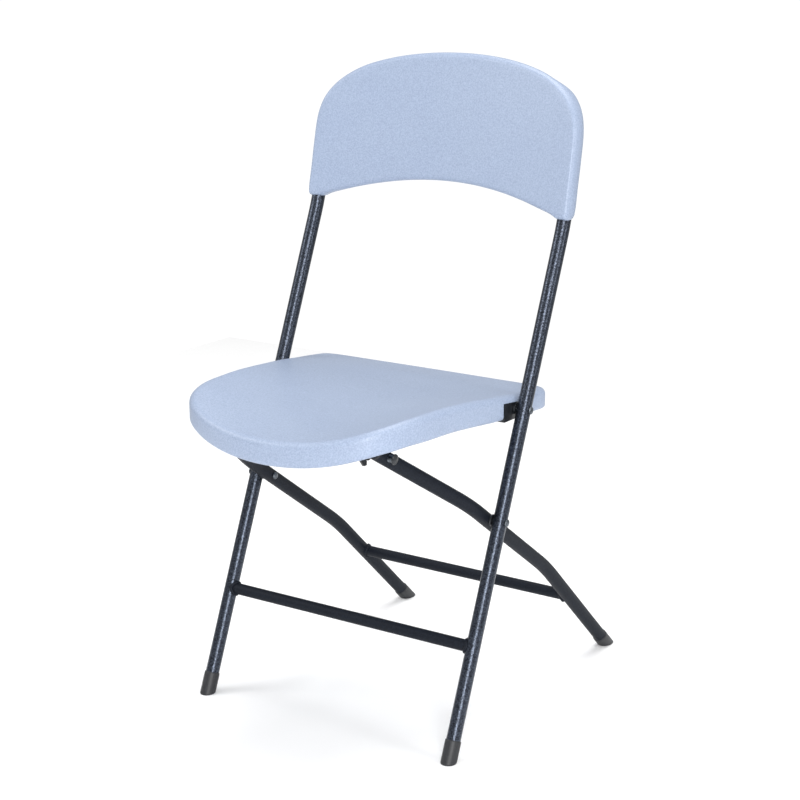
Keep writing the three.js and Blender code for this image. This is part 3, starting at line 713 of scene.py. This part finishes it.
def rounded_block(name, x_range, y_range, bottom_z):
    """A block under the seat with rounded upright corners and a rounded lower edge, as a mould leaves a rib.
    Its ring is turned a hair, so that no point falls where the sign of a corner is nought."""
    low = np.array([x_range[0], y_range[0]], dtype=float)
    high = np.array([x_range[1], y_range[1]], dtype=float)
    angle = np.linspace(0, 2 * np.pi, AROUND, endpoint=False) + 1e-6
    round_way = np.stack([np.cos(angle), np.sin(angle)], axis=-1)
    corners = (low + high) / 2 + np.sign(round_way) * ((high - low) / 2 - BLOCK_RADIUS)
    rings = []
    for a in np.linspace(0, 90, 5) * np.pi / 180:
        flat = corners + BLOCK_RADIUS * math.sin(a) * round_way
        rings.append(lift(flat, bottom_z + BLOCK_RADIUS * (1 - math.cos(a))))
    rings.append(lift(corners + BLOCK_RADIUS * round_way, BLOCK_TOP_Z))
    make_piece(name, skin(rings), "seat", PLASTIC)


seat_shell()
for label, side in SIDES:
    rounded_block(f"track_rib_{label}", sorted((side * 98, side * 122)), (-72, 142), 428.3)
    rounded_block(f"hinge_boss_{label}", sorted((side * 150, side * 177.5)), (145, 214), 420.6)

# ---------- back panel ----------
RIM_RADIUS = 6.0  # the rolled edge of the back panel


def back_outline():
    """The panel's front view: an arch between two sleeve ends, straight sides and a top that is a
    superellipse, x = w cos(a), z = shoulder + rise * sin(a)^0.55."""
    half = [(x, 669.5 + BACK["arch"] * (1 - (x / 188) ** 2)) for x in (0, 45, 90, 130, 160)]
    half += [(BACK["sleeve"] - 3, 671), (BACK["sleeve"] + 4, 667.6), (200, 667.2), (209.5, 668.5)]
    half += [(BACK["half_width"], 676), (BACK["half_width"], 712)]
    for degrees in (0, 8, 18, 30, 45, 60, 75, 90):
        a = math.radians(degrees)
        half.append((BACK["half_width"] * math.cos(a), BACK["shoulder"] + BACK["rise"] * math.sin(a) ** 0.55))
    return closed_loop(half, 560)


def back_surface(flat, depth):
    """Points of the panel: the front face leans back and bows as a parabola across the posts. The half
    thickness grows over them, all of it to the rear. Depth is -1 on the front face and 1 on the rear."""
    x, z = flat[:, 0], flat[:, 1]
    half = BACK["face_half"] + (BACK["sleeve_half"] - BACK["face_half"]) * smoothstep(np.abs(x), 150, 188)
    front = post_y(z) + BACK["bow"] * (1 - (x / UPRIGHT_X) ** 2) - BACK["sleeve_half"]
    return np.stack([x, front + (1 + depth) * half, z], axis=-1)


def back_shell():
    """Rings from the middle of the front face out to the rim, round its rolled edge and in to the middle of
    the rear face."""
    outline = back_outline()
    centre = np.array([0.0, BACK["centre_z"]])
    face = eased_inset(outline, RIM_RADIUS)
    reaches = np.linspace(0.02, 1, 30)
    rings = [back_surface(centre + (face - centre) * reach, -1) for reach in reaches]
    for a in np.linspace(-80, 80, 17) * np.pi / 180:
        rings.append(back_surface(eased_inset(outline, RIM_RADIUS * (1 - math.cos(a))), math.sin(a)))
    rings += [back_surface(centre + (face - centre) * reach, 1) for reach in reaches[::-1]]
    make_piece("back_shell", skin(rings), "front_frame", PLASTIC, ["back_panel"])


back_shell()

# ---------- CAD nodes that stay ----------
for label, _ in SIDES:
    for node in (f"seat_hinge_bracket_{label}", f"slide_track_{label}"):
        for material_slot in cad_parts[node].material_slots:
            material_slot.material = SHEET_STEEL

# ---------- floor, light and camera ----------
FLOOR_HALF = 1.6  # metres, past which the white surroundings take over
WORLD_LIGHT = 0.5  # what the white surroundings give the chair, as a share of full white
WORLD_SEEN = 1.05  # how bright the same surroundings look behind it
FLOOR_GRAIN_MM = 1000 / 6
VIEW_TARGET = (0.0, 186.09, 413.09)  # in the drawing frame, in millimetres
VIEW_AZIMUTH = 33.84  # degrees round to the sitter's left
VIEW_ELEVATION = 14.70  # degrees
VIEW_DISTANCE = 2.5422  # metres
LENS = 83.54  # millimetres, on a sensor 36 mm wide
SENSOR_WIDTH = 36.0
SOFTBOXES = (  # name, place in metres, width, height, power in watts
    ("front_softbox", (1.9, -2.5, 1.25), 1.2, 2.4, 92),
    ("left_softbox", (-2.4, -1.6, 2.4), 1.4, 1.4, 38),
    ("right_softbox", (2.8, 0.2, 1.6), 0.6, 1.6, 20),
    ("top_softbox", (0.0, 0.6, 3.2), 2.0, 2.0, 60))


def facing(target, place_m):
    """Euler angles that point an object's -Z from a place to a target."""
    return (Vector(target) - Vector(place_m)).to_track_quat("-Z", "Y").to_euler()


def studio():
    """A small pale floor in white surroundings, with soft light from the front, the sides and above. The
    surroundings look full white behind the chair and light it at WORLD_LIGHT."""
    floor = bpy.data.meshes.new("studio_floor")
    half = FLOOR_HALF
    corners = [(-half, -half, 0), (half, -half, 0), (half, half, 0), (-half, half, 0)]
    floor.from_pydata(corners, [], [(0, 1, 2, 3)])
    sheet, tree, shader, place = new_material("white_paper_floor", Roughness=0.9)
    grain = add(tree, "ShaderNodeTexNoise", [("Vector", place), ("Scale", per_mm(FLOOR_GRAIN_MM))])
    ramp = add(tree, "ShaderNodeValToRGB", [("Fac", grain.outputs["Fac"])])
    ramp.color_ramp.elements[0].color = linear("FAFAFA")
    ramp.color_ramp.elements[1].color = linear("FFFFFF")
    tree.links.new(ramp.outputs["Color"], shader.inputs["Base Color"])
    floor.materials.append(sheet)
    obj = bpy.data.objects.new("studio_floor", floor)
    bpy.context.scene.collection.objects.link(obj)

    world = bpy.data.worlds.new("studio_world")
    world.use_nodes = True
    sky = world.node_tree
    seen = add(sky, "ShaderNodeLightPath").outputs["Is Camera Ray"]
    level = add(sky, "ShaderNodeMapRange", [("Value", seen), ("To Min", WORLD_LIGHT), ("To Max", WORLD_SEEN)])
    sky.nodes["Background"].inputs["Color"].default_value = (1.0, 1.0, 1.0, 1.0)
    sky.links.new(level.outputs["Result"], sky.nodes["Background"].inputs["Strength"])
    bpy.context.scene.world = world
    for name, place_m, width, height, power in SOFTBOXES:
        light = bpy.data.lights.new(name, "AREA")
        light.shape = "RECTANGLE"
        light.size, light.size_y, light.energy = width, height, power
        lamp = bpy.data.objects.new(name, light)
        lamp.location = place_m
        lamp.rotation_euler = facing((0, 0, 0.5), place_m)
        bpy.context.scene.collection.objects.link(lamp)


def camera():
    """A camera at VIEW_DISTANCE from the chair's middle, turned by the azimuth and raised by the
    elevation."""
    azimuth, elevation = math.radians(VIEW_AZIMUTH), math.radians(VIEW_ELEVATION)
    target = point(*VIEW_TARGET) * MM
    back = np.array([math.sin(azimuth) * math.cos(elevation), -math.cos(azimuth) * math.cos(elevation),
                     math.sin(elevation)])
    data = bpy.data.cameras.new("view_camera")
    data.sensor_width = SENSOR_WIDTH
    data.lens = LENS
    data.clip_end = 100.0
    obj = bpy.data.objects.new("view_camera", data)
    place_m = target + back * VIEW_DISTANCE
    obj.location = place_m.tolist()
    obj.rotation_euler = facing(tuple(target), tuple(place_m))
    bpy.context.scene.collection.objects.link(obj)
    bpy.context.scene.camera = obj


studio()
camera()
bpy.context.scene.view_settings.view_transform = "Standard"
